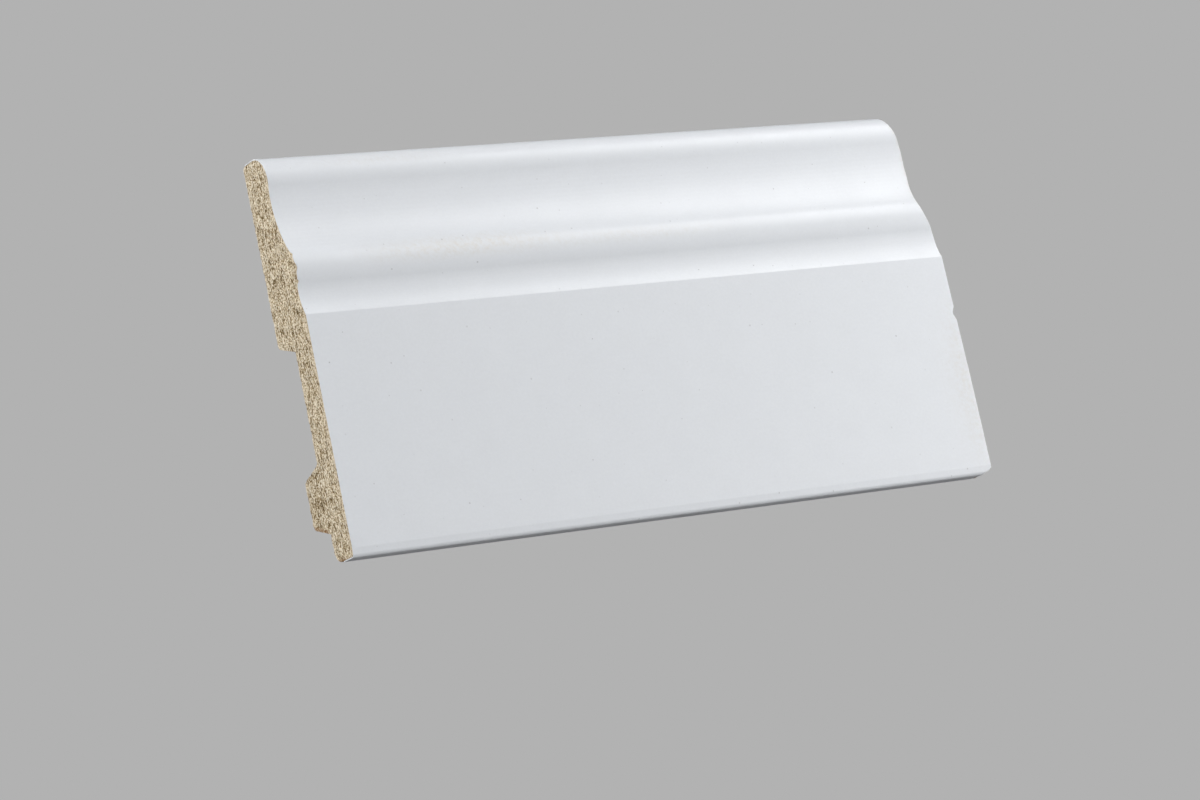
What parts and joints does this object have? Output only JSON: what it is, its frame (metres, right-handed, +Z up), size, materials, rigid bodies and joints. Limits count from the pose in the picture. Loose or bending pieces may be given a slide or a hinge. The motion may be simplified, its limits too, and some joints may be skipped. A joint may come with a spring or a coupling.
{
  "type": "skirting board",
  "caption": "Short square-cut length of white foil-wrapped fibreboard skirting board, with an ogee moulding along its top and a cable channel and floor notch milled in its back.",
  "frame": {"origin": "centre of the upper back face, the flat face that lies against the wall", "axes": "+X along the board, +Y into the wall, +Z up; the moulded face looks along -Y"},
  "size_m": [0.15, 0.014, 0.08],
  "materials": {
    "fibreboard_core": "raw, sawn and milled fibreboard",
    "white_foil": "satin"
  },
  "bodies": {
    "root": {"core_board": "fibreboard_core", "foil_wrap": "white_foil"}
  },
  "joints": []
}
